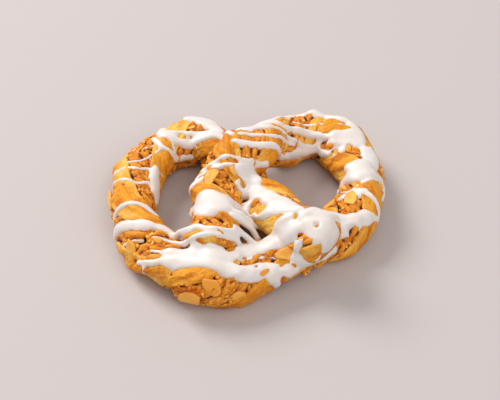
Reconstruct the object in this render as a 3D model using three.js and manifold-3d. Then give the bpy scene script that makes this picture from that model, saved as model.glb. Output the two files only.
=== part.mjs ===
// A twisted sweet pretzel: a rope of filled dough looped into a heart, baked flat on a tray,
// then drizzled with sugar icing. Almond flakes sit half sunk in the filling between the turns.
// Millimetres, +Z up. The origin is on the tray, under the middle of the pretzel's bounding box.
// +X is to the right and +Y towards the two lobes, away from the belly.
import * as THREE from "three";
import { mergeVertices } from "three/addons/utils/BufferGeometryUtils.js";
import Module from "manifold-3d";

const wasm = await Module();
wasm.setup();

// The rope.
const FLATNESS = 0.91; // its height as a share of its width
const GROOVE = 0.13; // how far the filling lies below the dough, as a share of the radius
const END_LENGTH = 7; // each free end rounds off over this length
const END_SHARE = 0.62; // the blunt tip's radius, as a share of the rope's
const SIDES = 14; // faces around the rope
const STEPS = 66; // faces along each half of it
const CLEARANCE = 0.3; // the gap between two solids that touch
const SLIVER = 0.05; // faces thinner than this are smoothed away after cutting

// The icing.
const ICING_THICKNESS = 2;
const ICING_TOP = 60; // above everything
const STROKE_CORNERS = 8; // corners of the round end of a stroke

// An almond flake.
const FLAKE_LENGTH = 14;
const FLAKE_WIDTH = 9;
const FLAKE_THICKNESS = 1.4;
const FLAKE_CORNERS = 9;
const FLAKE_SUNK = 0.6; // how far its middle lies below the rope's surface

// The rope's centreline: x, y, height and radius. It starts at the end that lies on the belly's
// left, climbs over the crossing, rounds the right lobe, the belly and the left lobe, and passes
// under the crossing to the end that lies on the belly's right.
const CENTRELINE = [
  [-17.5, -41, 22, 13.5],
  [-17, -31, 22, 14.5],
  [-15.5, -14, 20, 14],
  [-15, 2, 19, 14],
  [-11, 14, 22, 14],
  [-5, 22, 25.5, 14],
  [4, 29, 25.5, 14],
  [12, 39, 20, 14],
  [24, 49.5, 14, 14.5],
  [37, 55, 11.8, 15],
  [49, 49, 11.2, 15],
  [57, 36, 11.2, 14.5],
  [61, 20, 11.2, 14],
  [59, 5, 11.2, 14],
  [54, -8, 11.2, 14],
  [45, -19, 11.2, 14],
  [34, -26, 11.2, 14],
  [22, -32.5, 11.2, 14],
  [8, -40, 11.2, 14],
  [-6, -47, 11.2, 15],
  [-20, -49, 11.2, 15.5],
  [-33, -43, 11.2, 14],
  [-44, -34, 11.2, 14],
  [-53, -23, 11.2, 14],
  [-58, -9, 11.2, 14],
  [-59, 8, 11.2, 14],
  [-57, 26, 11.2, 14],
  [-50, 38, 11.2, 14],
  [-41, 45, 11.2, 14],
  [-32, 51, 11.2, 14.5],
  [-23, 50, 11.2, 14],
  [-15, 43, 11, 13.5],
  [-8, 32, 10.5, 13],
  [-1, 18, 10.5, 13],
  [6, 4, 13, 13.5],
  [12, -8, 17, 14],
  [21, -21, 22, 14],
  [31, -32, 24.5, 14],
  [40, -40, 23.5, 14],
];

// Where a band of dough comes to the top of the rope, in centreline points from its first end.
// The rope twists half a turn from each of these to the next.
const DOUGH_ON_TOP = [-0.3, 2, 4.6, 7, 9.5, 12.6, 15.8, 20, 23.9, 28, 31.5, 34, 36.6, 39];

// Each patch of icing: its name, and its strokes. A stroke is the height it stops running down
// at, its width, and the points it was drizzled through, seen from above.
const ICING = {
  icing_left_lobe: [
    [14, 6, [[-57, 44], [-49, 39], [-36, 40], [-20, 43]]],
    [10, 10, [[-35, 55], [-27, 58], [-20, 55]]],
    [14, 5, [[-31, 42], [-29, 56]]],
  ],
  icing_left_apron: [
    [12, 4.5, [[-71, 18], [-59, 16], [-49, 18], [-47, 5], [-47, -3]]],
    [12, 4, [[-71, 30], [-60, 27], [-49, 18]]],
  ],
  icing_left_arc: [[10, 4.5, [[-70, -14], [-60, -11], [-47, -14]]]],
  icing_front: [
    [9, 6, [[-69, -21], [-56, -24], [-43, -26], [-34, -36], [-28, -44]]],
    [9, 8, [[-53, -46], [-40, -48], [-28, -48], [-14, -53], [2, -53], [14, -48]]],
    [9, 10, [[14, -48], [18, -52]]],
    [14, 7, [[-32, -47], [-16, -48], [2, -44], [14, -39], [24, -37], [34, -36]]],
    [10, 6, [[14, -48], [14, -38]]],
    [18, 16, [[28, -32], [40, -40], [46, -42]]],
    [10, 12, [[38, -30], [48, -20], [58, -15], [66, -10]]],
    [10, 5, [[43, -9], [52, -3], [62, -4], [66, -10]]],
  ],
  icing_tongue: [
    [16, 13, [[-29, -14], [-16, -16], [-4, -12]]],
    [16, 10, [[-4, -12], [6, -6], [14, -12], [19, -20]]],
    [18, 10, [[-2, 8], [2, 0], [6, -6]]],
  ],
  icing_crossing: [
    [20, 4.5, [[-22, 17], [-12, 15], [0, 17], [8, 21]]],
    [18, 4, [[-21, 17], [-22, 8]]],
  ],
  icing_right_lobe: [
    [10, 20, [[62, 12], [62, 28], [56, 42]]],
    [9, 5, [[72, 14], [74, 4]]],
    [12, 8, [[56, 42], [44, 45], [28, 44], [14, 42]]],
    [14, 6, [[28, 44], [16, 34], [6, 32]]],
    [10, 7, [[44, 47], [40, 62], [30, 60]]],
  ],
};

// Each almond flake: its place along the rope in centreline points, its angle around the rope
// from the top (positive towards the inside of the loop), its spin and its tilt, in degrees.
const FLAKES = [
  [0.9, -52, 20, 12],
  [3.1, -12, 75, 14],
  [4.1, 52, 10, 10],
  [6.9, 60, 40, 12],
  [7.8, 38, 110, 10],
  [8.7, -42, 15, 12],
  [11.0, 62, 35, 14],
  [13.8, 12, 60, 10],
  [14.4, 55, 140, 12],
  [17.4, -35, 25, 10],
  [18.4, -66, 80, 12],
  [19.2, -84, 15, 10],
  [19.8, -50, 115, 12],
  [20.15, -92, 20, 8],
  [22.6, -58, 60, 12],
  [23.1, 2, 130, 10],
  [24.7, -72, 80, 12],
  [26.0, 45, 100, 10],
  [26.5, -38, 20, 14],
  [27.6, -68, 70, 10],
  [30.4, 58, 30, 12],
];

const UP = new THREE.Vector3(0, 0, 1);
const LAST = CENTRELINE.length - 1;
const middles = CENTRELINE.map(([x, y, z]) => new THREE.Vector3(x, y, z));
const curve = new THREE.CatmullRomCurve3(middles, false, "catmullrom", 0.5);
const radii = new THREE.SplineCurve(CENTRELINE.map((p, i) => new THREE.Vector2(i, p[3])));
const ropeLength = curve.getLength();

// The rope's middle and its side and up directions at t, from 0 at one end to 1 at the other.
function frameAt(t) {
  const tangent = curve.getTangent(t);
  const side = new THREE.Vector3().crossVectors(tangent, UP).normalize();
  const up = new THREE.Vector3().crossVectors(side, tangent);
  return { middle: curve.getPoint(t), side, up };
}

// How many turns the rope has twisted by t.
function twistAt(t) {
  const station = t * LAST;
  const next = DOUGH_ON_TOP.findIndex((top) => top > station);
  const [low, high] = [DOUGH_ON_TOP[next - 1], DOUGH_ON_TOP[next]];
  return 0.5 * (next + (station - low) / (high - low));
}

// How far the rope has swelled from its blunt tip, at a distance from the nearest free end.
function endShare(distance) {
  const x = Math.min(1, distance / END_LENGTH);
  return END_SHARE + (1 - END_SHARE) * Math.sqrt(1 - (1 - x) ** 2);
}

// A point of the rope's cross-section at t: an angle from the top, a share of the way out from
// the middle, and how far the surface is grown outwards.
function ropePoint(t, around, share, extra) {
  const { middle, side, up } = frameAt(t);
  const turned = around + 2 * Math.PI * twistAt(t);
  const relief = 1 - (GROOVE / 2) * (1 - Math.cos(2 * turned));
  const radius = radii.getPoint(t).y * relief * endShare(Math.min(t, 1 - t) * ropeLength);
  const wide = (radius + extra) * share * Math.sin(around);
  const high = (radius * FLATNESS + extra) * share * Math.cos(around);
  return middle.addScaledVector(side, wide).addScaledVector(up, high);
}

// A three.js geometry's closed surface as a manifold-3d solid, facing outwards.
function solidOf(geometry) {
  const bare = geometry.clone();
  bare.deleteAttribute("normal");
  bare.deleteAttribute("uv");
  const merged = mergeVertices(bare, 1e-3);
  const vertProperties = merged.getAttribute("position").array;
  const triVerts = new Uint32Array(merged.index.array);
  const made = new wasm.Manifold(new wasm.Mesh({ numProp: 3, vertProperties, triVerts }));
  if (made.volume() > 0) return made;
  return new wasm.Manifold(
    new wasm.Mesh({ numProp: 3, vertProperties, triVerts: triVerts.reverse() }),
  );
}

// A manifold-3d solid as a three.js geometry.
function geometryOf(solid) {
  const mesh = solid.getMesh();
  const geometry = new THREE.BufferGeometry();
  geometry.setAttribute("position", new THREE.BufferAttribute(mesh.vertProperties, 3));
  geometry.setIndex(new THREE.BufferAttribute(mesh.triVerts, 1));
  geometry.computeVertexNormals();
  return geometry;
}

// The largest separate body of a solid.
function largest(solid) {
  return solid.decompose().sort((a, b) => b.volume() - a.volume())[0];
}

// The largest body of a solid without the slivers that cutting may have left. Rounding the
// corners to what a mesh can hold may pinch off more of them, so it is taken twice.
function cleaned(solid) {
  return largest(solidOf(geometryOf(largest(solid.simplify(SLIVER)))));
}

// A capped cylinder bent onto the centreline from t = from to t = to.
function ropeHalf(from, to, extra) {
  const geometry = new THREE.CylinderGeometry(1, 1, 1, SIDES, STEPS);
  const position = geometry.getAttribute("position");
  for (let i = 0; i < position.count; i++) {
    const t = from + (to - from) * (position.getY(i) + 0.5);
    const share = Math.hypot(position.getX(i), position.getZ(i));
    const around = Math.atan2(position.getX(i), position.getZ(i));
    const p = ropePoint(t, around, share, extra);
    position.setXYZ(i, p.x, p.y, p.z);
  }
  return solidOf(geometry);
}

// The whole rope, made in two halves so that neither meets itself, and flat where it was baked.
function rope(extra) {
  const below = new THREE.BoxGeometry(400, 400, 40).translate(0, 0, -20);
  return ropeHalf(0, 0.5, extra).add(ropeHalf(0.5, 1, extra)).subtract(solidOf(below));
}

// The upright prism over one straight piece of an icing stroke, with round ends.
function strokePiece([x0, y0], [x1, y1], width, level) {
  const ahead = Math.atan2(y1 - y0, x1 - x0);
  const shape = new THREE.Shape();
  for (let i = 0; i < STROKE_CORNERS; i++) {
    const atStart = i < STROKE_CORNERS / 2;
    const step = i % (STROKE_CORNERS / 2) / (STROKE_CORNERS / 2 - 1);
    const angle = ahead + Math.PI * ((atStart ? 0.5 : -0.5) + step);
    const x = (atStart ? x0 : x1) + (width / 2) * Math.cos(angle);
    const y = (atStart ? y0 : y1) + (width / 2) * Math.sin(angle);
    if (i === 0) shape.moveTo(x, y);
    else shape.lineTo(x, y);
  }
  shape.closePath();
  const depth = ICING_TOP - level;
  const prism = new THREE.ExtrudeGeometry(shape, { depth, bevelEnabled: false });
  return solidOf(prism.translate(0, 0, level));
}

// The prisms over all the strokes of one patch of icing.
function strokesOf(strokes) {
  const pieces = strokes.flatMap(([level, width, points]) =>
    points.slice(1).map((point, i) => strokePiece(points[i], point, width, level)),
  );
  return pieces.reduce((all, piece) => all.add(piece));
}

// One almond flake, grown outwards by extra: a thin oval slice pointed at one end.
function flake([station, aroundDegrees, spinDegrees, tiltDegrees], extra) {
  const shape = new THREE.Shape();
  for (let i = 0; i < FLAKE_CORNERS; i++) {
    const angle = (2 * Math.PI * i) / FLAKE_CORNERS;
    const point = 1 - 0.22 * Math.cos(angle);
    const x = (FLAKE_LENGTH / 2 + extra) * Math.cos(angle);
    const y = (FLAKE_WIDTH / 2 + extra) * Math.sin(angle) * point;
    if (i === 0) shape.moveTo(x, y);
    else shape.lineTo(x, y);
  }
  shape.closePath();
  const depth = FLAKE_THICKNESS + 2 * extra;
  const slice = new THREE.ExtrudeGeometry(shape, { depth, bevelEnabled: false });
  slice.translate(0, 0, -depth / 2);
  slice.rotateZ(THREE.MathUtils.degToRad(spinDegrees));
  slice.rotateX(THREE.MathUtils.degToRad(tiltDegrees));
  const t = station / LAST;
  const around = THREE.MathUtils.degToRad(aroundDegrees);
  const seat = ropePoint(t, around, 1, -FLAKE_SUNK);
  const outwards = seat.clone().sub(frameAt(t).middle).normalize();
  slice.applyQuaternion(new THREE.Quaternion().setFromUnitVectors(UP, outwards));
  return slice.translate(seat.x, seat.y, seat.z);
}

const doughMaterial = new THREE.MeshStandardMaterial({
  color: 0xd08a3a,
  roughness: 0.6,
  metalness: 0,
});
const icingMaterial = new THREE.MeshStandardMaterial({
  color: 0xf7f2ec,
  roughness: 0.25,
  metalness: 0,
});
const almondMaterial = new THREE.MeshStandardMaterial({
  color: 0xe5b468,
  roughness: 0.55,
  metalness: 0,
});

const group = new THREE.Group();
group.name = "twisted_pretzel";

// Adds one named part to the group.
function addPart(name, geometry, material) {
  const mesh = new THREE.Mesh(geometry, material);
  mesh.name = name;
  group.add(mesh);
}

const pockets = FLAKES.map((place) => solidOf(flake(place, CLEARANCE))).reduce((a, b) => a.add(b));
const baked = rope(0);
addPart("pretzel", geometryOf(cleaned(baked.subtract(pockets))), doughMaterial);

const underIcing = rope(CLEARANCE).add(baked).add(pockets);
const icingShell = rope(CLEARANCE + ICING_THICKNESS).subtract(underIcing);
for (const [name, strokes] of Object.entries(ICING)) {
  const patch = cleaned(icingShell.intersect(strokesOf(strokes)));
  addPart(name, geometryOf(patch), icingMaterial);
}

FLAKES.forEach((place, i) => {
  const name = `almond_slice_${String(i + 1).padStart(2, "0")}`;
  const slice = flake(place, 0);
  addPart(name, geometryOf(solidOf(slice)), almondMaterial);
});

// The origin goes under the middle of the bounding box.
const box = new THREE.Box3().setFromObject(group);
const middle = box.getCenter(new THREE.Vector3());
group.position.set(-middle.x, -middle.y, -box.min.z);
console.log("moved by", group.position.toArray().map((v) => v.toFixed(2)).join(" "));

export default group;
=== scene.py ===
"""A sweet twisted pretzel with nut filling, sliced almonds and sugar icing, for Blender 4.5.

The rope, its icing and the almonds are grown in millimetres on a grid of voxels, and put into
the scene in metres around the frame that the CAD part gives.
"""

import math

import bmesh
import bpy
import numpy as np
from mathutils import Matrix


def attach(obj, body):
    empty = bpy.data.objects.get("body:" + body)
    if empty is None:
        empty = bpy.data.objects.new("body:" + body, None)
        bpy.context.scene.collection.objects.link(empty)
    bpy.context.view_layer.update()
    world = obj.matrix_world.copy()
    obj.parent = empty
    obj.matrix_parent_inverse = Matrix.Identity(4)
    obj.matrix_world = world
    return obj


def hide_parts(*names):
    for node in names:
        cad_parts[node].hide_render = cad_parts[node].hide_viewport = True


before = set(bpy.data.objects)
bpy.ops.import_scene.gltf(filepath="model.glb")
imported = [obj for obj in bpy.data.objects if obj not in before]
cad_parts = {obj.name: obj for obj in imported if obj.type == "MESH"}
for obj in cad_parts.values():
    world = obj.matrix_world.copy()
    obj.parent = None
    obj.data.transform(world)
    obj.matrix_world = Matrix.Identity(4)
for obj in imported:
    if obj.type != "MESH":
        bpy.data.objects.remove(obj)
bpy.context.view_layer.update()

import openvdb
from mathutils import Quaternion, Vector
from mathutils.bvhtree import BVHTree
from mathutils.kdtree import KDTree

bl_info = {
    "name": "Twisted Pretzel",
    "version": (1, 0, 0),
    "blender": (4, 5, 0),
    "location": "3D View > Sidebar > Pretzel",
    "description": "Bakes, ices and stages a sweet twisted pretzel",
    "category": "Add Mesh",
}

MM = 0.001
BODY = "root"

# Where the rope's own coordinates lie in the part's frame, in millimetres.
SHIFT = np.array([-0.79, -2.67, 0.0])

# The rope's centreline: x, y, height and radius. It starts at the end that lies on the belly's
# left, climbs over the crossing, rounds the right lobe, the belly and the left lobe, and passes
# under the crossing to the end that lies on the belly's right.
CENTRELINE = np.array(
    [
        (-17.5, -41, 22, 13.5),
        (-17, -31, 22, 14.5),
        (-15.5, -14, 20, 14),
        (-15, 2, 19, 14),
        (-11, 14, 22, 14),
        (-5, 22, 25.5, 14),
        (4, 29, 25.5, 14),
        (12, 39, 20, 14),
        (24, 49.5, 14, 14.5),
        (37, 55, 11.8, 15),
        (49, 49, 11.2, 15),
        (57, 36, 11.2, 14.5),
        (61, 20, 11.2, 14),
        (59, 5, 11.2, 14),
        (54, -8, 11.2, 14),
        (45, -19, 11.2, 14),
        (34, -26, 11.2, 14),
        (22, -32.5, 11.2, 14),
        (8, -40, 11.2, 14),
        (-6, -47, 11.2, 15),
        (-20, -49, 11.2, 15.5),
        (-33, -43, 11.2, 14),
        (-44, -34, 11.2, 14),
        (-53, -23, 11.2, 14),
        (-58, -9, 11.2, 14),
        (-59, 8, 11.2, 14),
        (-57, 26, 11.2, 14),
        (-50, 38, 11.2, 14),
        (-41, 45, 11.2, 14),
        (-32, 51, 11.2, 14.5),
        (-23, 50, 11.2, 14),
        (-15, 43, 11, 13.5),
        (-8, 32, 10.5, 13),
        (-1, 18, 10.5, 13),
        (6, 4, 13, 13.5),
        (12, -8, 17, 14),
        (21, -21, 22, 14),
        (31, -32, 24.5, 14),
        (40, -40, 23.5, 14),
    ],
    float,
)
HALFWAY = (len(CENTRELINE) - 1) / 2

# Where a band of dough comes to the top of the rope, in centreline points from its first end.
# The rope twists half a turn from each of these to the next.
DOUGH_ON_TOP = [-0.3, 2, 4.6, 7, 9.5, 12.6, 15.8, 20, 23.9, 28, 31.5, 34, 36.6, 39]

# The rough lump of filling at the front of the belly: where it is along the rope and round it, how
# far it spreads each way, and its height. Angles round the rope are in radians.
BULGE_STATION = 19.3
BULGE_LENGTH = 0.9
BULGE_ANGLE = -1.35
BULGE_WIDTH = 0.7
BULGE_HEIGHT = 3.2

FLATNESS = 0.91  # the rope's height as a share of its width
USUAL_RADIUS = 14
SKIN_DEPTH = 2.3  # how far inside the rope's full radius its skin starts
END_LENGTH = 7.0  # each free end rounds off over this length
END_SHARE = 0.62  # the blunt tip's radius, as a share of the rope's

# The big almond slices: place along the rope in centreline points, angle round the rope from its
# top (positive towards the inside of the loop), spin and tilt, all in degrees.
FLAKES = [
    (0.9, -52, 20, 12),
    (3.1, -12, 75, 14),
    (4.1, 52, 10, 10),
    (6.9, 60, 40, 12),
    (7.8, 38, 110, 10),
    (8.7, -42, 15, 12),
    (11.0, 62, 35, 14),
    (13.8, 12, 60, 10),
    (14.4, 55, 140, 12),
    (17.4, -35, 25, 10),
    (18.4, -66, 80, 12),
    (19.2, -84, 15, 10),
    (19.8, -50, 115, 12),
    (20.15, -92, 20, 8),
    (22.6, -58, 60, 12),
    (23.1, 2, 130, 10),
    (24.7, -72, 80, 12),
    (26.0, 45, 100, 10),
    (26.5, -38, 20, 14),
    (27.6, -68, 70, 10),
    (30.4, 58, 30, 12),
]

BIGGEST_SLICE = 14  # the one that stands out under the front of the belly

ICED_LIFT = -1.0  # slices under icing are sunk by this, in millimetres
BIGGEST_LIFT = 1.6
BIGGEST_LENGTH = 1.3
BIGGEST_WIDTH = 1.65

EDGE_STEP = (-0.05, 0.07)  # the dough's edge rises over this range
LEAF_EDGE = (0.42, 0.5)  # where a second layer of dough ends on one side
LEAF_FAR_EDGE = (-0.5, -0.58)  # and on the other
CREASE_STRETCH = np.array([0.18, 1.0, 1.0])  # creases run along the rope
DOUGH_LEVEL = 0.7
CROWN_HEIGHT = 1.5
FILLING_LEVEL = -1.1
GROOVE_DEPTH = 1.2  # of the groove where the filling meets the dough
GROOVE_PLACE = -0.13
GROOVE_WIDTH = 0.1

# Layers of noise: the height of each, the size of its lumps and its seed.
BAND_WANDER = [(0.34, 15, 11), (0.13, 4.5, 12)]
CREASES = [(0.3, 1.7, 21), (0.2, 0.9, 22)]
WRINKLES = [(0.5, 3.4, 26), (0.22, 1.6, 27)]
SWELLS = [(1.3, 14, 23), (0.7, 6.5, 24)]
ROUGHNESS = [(0.45, 2.6, 65), (0.3, 1.3, 66)]
CRACK_WANDER = [(0.16, 5, 63), (0.08, 2, 64)]
STROKE_WOBBLE = [(0.2, 6, 61), (0.1, 2.5, 62)]
ICING_RIPPLE = [(0.16, 7, 71), (0.07, 2.2, 72)]

# The lumps of the filling: size, seed, height, how soon they rise from their edges, and the least
# share of the height that one can have.
LUMPS = [
    (7.5, 31, 2.2, 0.55, 0.2),
    (3.7, 41, 0.95, 0.55, 0.1),
    (2.0, 51, 0.5, 0.6, 0.0),
]

# Cracks across the filling: place along the rope in centreline points, the angles round the rope
# that a crack runs between, and its depth in millimetres.
CRACKS = [
    (22.45, -105, 45, 5.5),
    (24.9, -100, -20, 2.5),
    (20.9, -110, -40, 3.0),
    (18.2, -120, -60, 2.5),
    (26.7, -60, 40, 3.0),
    (2.2, -80, 10, 2.5),
    (9.3, -50, 60, 2.5),
    (13.4, -20, 70, 2.5),
    (17.1, -60, 30, 2.5),
    (30.3, -10, 80, 2.5),
]
CRACK_WIDTH = 0.05  # in centreline points
CRACK_FADE = 12  # in degrees, over which a crack closes at each end

# The icing, as it was drizzled: a width and the points it ran through, seen from above. A point
# with a third number starts at that height and settles on the pretzel where that is near. A fourth
# number keeps it in the air.
STROKES = [
    # the left lobe
    (13, [(-33, 59), (-26, 60), (-19, 57)]),
    (11, [(-26, 55.5), (-20, 54), (-16, 50)]),
    (7, [(-20, 57), (-16, 51), (-14, 45)]),
    (7, [(-47, 57), (-47, 51), (-46, 45)]),
    (4.5, [(-50, 50), (-44, 46), (-36, 45.5), (-28, 46), (-21, 46), (-14, 44)]),
    (5.5, [(-48, 44), (-41, 42), (-33, 41), (-26, 42), (-18, 43), (-11, 40)]),
    (2.4, [(-36, 41), (-30, 39, 20), (-26, 38, 16), (-23, 38.5, 11)]),
    (3.6, [(-52, 44), (-48, 38), (-44, 34.5, 17), (-39, 33.5, 14), (-33, 35.5, 12.5), (-28, 37.5, 11)]),
    (2, [(-43, 41), (-40, 37.5), (-38.5, 34.5, 15)]),
    (1.8, [(-66, 38), (-59, 36), (-52, 36), (-47, 38)]),
    (2, [(-68, 26), (-61, 24), (-55, 26), (-50, 30), (-46, 34)]),
    (1.6, [(-64, 31), (-58, 29), (-52, 31)]),
    (2.8, [(-73, 18, 11), (-70, 20), (-64, 20), (-57, 18), (-51, 20), (-47, 18)]),
    (2.8, [(-73, 10, 9), (-70, 11.5), (-64, 10), (-58, 8), (-53, 10), (-49, 12)]),
    (7, [(-49, 22), (-49, 16), (-48.5, 10), (-48, 4)]),
    (2.6, [(-48, 10), (-45.5, 9, 12), (-45, 8, 8)]),
    (2.2, [(-48, 3), (-45.8, -1, 12), (-45.5, -4, 8)]),
    (2, [(-48, 20), (-46, 21, 14), (-45, 22, 9)]),
    # the left side
    (3.8, [(-72, -12, 10), (-70, -11), (-63, -10), (-55, -10), (-49, -12), (-46, -16, 15)]),
    (6.5, [(-73, -15, 10), (-69, -18), (-60, -21.5), (-52, -23.5), (-46, -24)]),
    (4, [(-72, -23, 8), (-70, -20, 12), (-66, -19)]),
    (5.5, [(-47, -24), (-41, -25), (-37, -27), (-33, -29.5, 23, 1), (-29, -32, 27.5, 1), (-24, -33.5)]),
    (2.6, [(-48, -31), (-42, -32), (-36, -34), (-31, -36.5, 22, 1), (-26, -38)]),
    (2.2, [(-63, -29), (-56, -31), (-51, -31)]),
    (2.2, [(-49, -38.5), (-45, -39.5), (-40, -41)]),
    (1.8, [(-65, -28), (-66.5, -32, 9)]),
    # the front of the belly
    (3.4, [(-56, -41, 13), (-51, -43.5), (-46, -45.5), (-40, -46)]),
    (3, [(-50, -44), (-51.5, -47, 9)]),
    (10, [(-40, -42), (-34, -43.5), (-27, -44), (-20, -45.5), (-12, -46), (-5, -45)]),
    (8, [(-42, -46), (-34, -48), (-26, -49), (-18, -51), (-10, -53.5), (0, -54), (8, -52)]),
    (4, [(-29, -29), (-25, -32), (-20, -35), (-12, -35.5), (-4, -33.5)]),
    (3.6, [(-28, -38.5), (-22, -38.5), (-15, -38.5), (-9, -37.5), (-3, -35)]),
    (4, [(-8, -21), (-3, -22.5, 28.5, 1), (2, -23.5, 24, 1), (7, -23)]),
    (4, [(-8, -25), (-3, -26, 28, 1), (2, -26.5, 23.5, 1), (7, -25.5)]),
    (3, [(-7, -31.5), (-3, -32, 26, 1), (1, -33, 22, 1), (6, -34)]),
    (11, [(-4, -41), (3, -39), (10, -36.5), (18, -35), (26, -36)]),
    (6, [(7, -33), (14, -30.5), (22, -29.5)]),
    (1.8, [(-6, -48), (2, -46), (10, -44), (18, -43.5), (25, -42)]),
    (1.8, [(0, -50), (8, -47), (17, -47), (24, -45)]),
    (11, [(8, -50), (12, -51, 17), (15, -53, 10)]),
    (6, [(15, -52, 12), (17, -53, 6)]),
    (7, [(17, -50, 17), (22, -48, 14), (25, -46, 13)]),
    (8, [(24, -43), (29, -44, 17), (33, -42, 14)]),
    (5, [(33, -41, 16), (40, -38, 15), (46, -34, 15)]),
    (5, [(22, -44), (27, -41)]),
    # the end on the belly's right
    (19, [(30, -35), (36, -38), (44, -40), (47, -40)]),
    (6, [(36, -48, 20), (44, -48, 22), (49, -45)]),
    (10, [(34, -30), (43, -27), (50, -22), (57, -18)]),
    (7, [(26, -32), (33, -27), (38, -24)]),
    (3, [(52, -38), (54, -36, 12)]),
    # the right side
    (9, [(42, -17), (49, -19), (57, -17), (64, -13)]),
    (7, [(48, -2), (55, -1), (61, 0)]),
    (4, [(61, -1), (66, -5), (68, -9, 14), (69, -13, 9)]),
    (4, [(63, -14), (67, -12, 14), (69, -10, 9)]),
    (2.4, [(48, 6), (53, 3.5), (59, 5), (65, 8), (70, 12)]),
    (9, [(51, 13), (58, 12), (66, 14), (71, 16)]),
    (13, [(54, 19), (60, 19), (66, 22)]),
    (14, [(66, 22), (66, 29), (64, 37)]),
    (12, [(63, 38), (58, 42), (51, 42)]),
    (6, [(73, 14, 14), (74, 10, 11), (74, 6, 9)]),
    (4, [(50, 14), (47.5, 11, 16), (47.5, 8, 11)]),
    (3, [(49, 20), (47, 20, 14), (46.5, 20, 10)]),
    (4, [(54, 36), (49, 33), (46.5, 31, 16)]),
    (5, [(44, 40.5), (50, 39), (56, 37.5), (61, 37)]),
    (1.8, [(42, 37.5, 14), (48, 37), (55, 34.5), (60, 33)]),
    # the right lobe
    (7, [(62, 42), (52, 43), (44, 43.5)]),
    (4.6, [(45, 44), (34, 46), (26, 45), (19, 43)]),
    (7, [(19, 43), (14, 45), (9, 45), (4, 43)]),
    (5, [(2, 38), (8, 38), (14, 38)]),
    (3, [(13, 38), (20, 38.5), (27, 39.5), (34, 41), (40, 43)]),
    (3.4, [(-5, 28.5), (3, 29), (10, 29), (15, 30.5), (20, 33.5), (27, 37.5, 20)]),
    (
        4.4,
        [(-8, 22.5), (0, 22), (8, 22.5), (14, 24.5)]
        + [(18, 28, 20), (25, 33, 16.5), (32, 36.5, 15), (38, 38.5, 14)],
    ),
    (2, [(18, 26.5, 16), (25, 30, 13), (31, 34, 11.5)]),
    (1.8, [(28, 42), (31, 38.5, 19), (33, 37, 13)]),
    (4, [(38, 42), (42, 38), (45, 35)]),
    (2.2, [(31, 41), (35, 39.5, 16), (37, 38.5, 10)]),
    (8, [(34, 62), (41, 61), (48, 58), (55, 53)]),
    (6, [(20, 60), (27, 63), (36, 64)]),
    (3.2, [(12, 50), (17, 53), (20, 57), (21, 61)]),
    (2.2, [(24, 52), (32, 51), (40, 51.5), (48, 51), (58, 48)]),
    (6, [(55, 53), (60, 48), (63, 43)]),
    # the crossing
    (3.6, [(-14, 44), (-12, 37), (-10, 31), (-7, 27)]),
    (8, [(-5, 36), (1, 36), (6, 40)]),
    (3.4, [(-24, 11, 22), (-20, 13.5), (-13, 13), (-6, 13), (1, 14), (7, 15.5), (12, 17)]),
    (3, [(-27, 5, 22), (-24, 8), (-18, 10), (-11, 9), (-5, 9)]),
    (5, [(-27, -1, 20), (-24, 3), (-20, 4)]),
    (13, [(-5, 8), (1, 8), (5, 4)]),
    (9, [(-5, 2), (0, 1), (5, -2)]),
    # the tongue of the two ends
    (13, [(-27, -15), (-20, -17), (-12, -16), (-5, -13)]),
    (8, [(-25, -22), (-17, -23), (-8, -20)]),
    (5, [(-27, -11, 24), (-22, -9), (-15, -10)]),
    (5, [(-28, -18), (-31, -19, 18)]),
    (4, [(-29, -22, 22), (-31, -25, 16)]),
    (13, [(3, 0), (7, -6), (12, -13), (18, -19.5), (25, -26)]),
    (9, [(-2, -6), (2, -12), (7, -18), (12, -22)]),
    (7, [(-4, -8, 14), (-1, -15, 15), (3, -21, 17)]),
    (4, [(-5, -14, 24), (-2, -16, 21), (1, -18, 19)]),
]

# Bare spots in the pools: x, y and radius.
BARE_SPOTS = [
    (55, 35, 1.6),
    (65, 38, 1.2),
    (54, 28, 4.2),
    (53, -8, 4.5),
    (54, -24, 2.4),
    (36, -47, 1.6),
    (41, -43, 1.3),
    (34, -37, 1.2),
    (4, -13, 3.0),
    (7, -17, 2.4),
    (-2, 2, 1.4),
    (-9, -42, 1.4),
    (-36, 44, 1.6),
]
BARE_DEPTH = 2.4  # how much icing a bare spot takes away
BARE_EDGE = 0.8  # it fades out over this much to each side of its radius


# ---- Noise and small helpers ----


def smoothstep(low, high, value):
    """0 below low, 1 above high, and a smooth rise between them."""
    t = np.clip((value - low) / (high - low), 0.0, 1.0)
    return t * t * (3 - 2 * t)


def lattice(cell, seed):
    """A repeatable random number from 0 to 1 for each whole-numbered lattice point."""
    mixed = cell[..., 0] * 73856093 ^ cell[..., 1] * 19349663 ^ cell[..., 2] * 83492791
    mixed = (mixed ^ (seed * 2654435761)) & 0xFFFFFFFF
    mixed = (mixed ^ (mixed >> 15)) * 2246822519 & 0xFFFFFFFF
    mixed = (mixed ^ (mixed >> 13)) * 3266489917 & 0xFFFFFFFF
    return ((mixed ^ (mixed >> 16)) & 0xFFFFFF) / float(0xFFFFFF)


def soft_noise(points, size, seed):
    """Smooth noise from -1 to 1, whose lumps are about size across."""
    scaled = points / size
    cell = np.floor(scaled).astype(np.int64)
    t = scaled - cell
    t = t * t * (3 - 2 * t)
    total = np.zeros(points.shape[:-1])
    for corner in np.ndindex(2, 2, 2):
        weight = np.ones(points.shape[:-1])
        for axis in range(3):
            weight = weight * (t[..., axis] if corner[axis] else 1 - t[..., axis])
        total += weight * lattice(cell + np.array(corner), seed)
    return 2 * total - 1


def with_noise(values, points, layers):
    """Values with layers of noise added, each given by its height, its lumps' size and a seed."""
    for height, size, seed in layers:
        values = values + height * soft_noise(points, size, seed)
    return values


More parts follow.
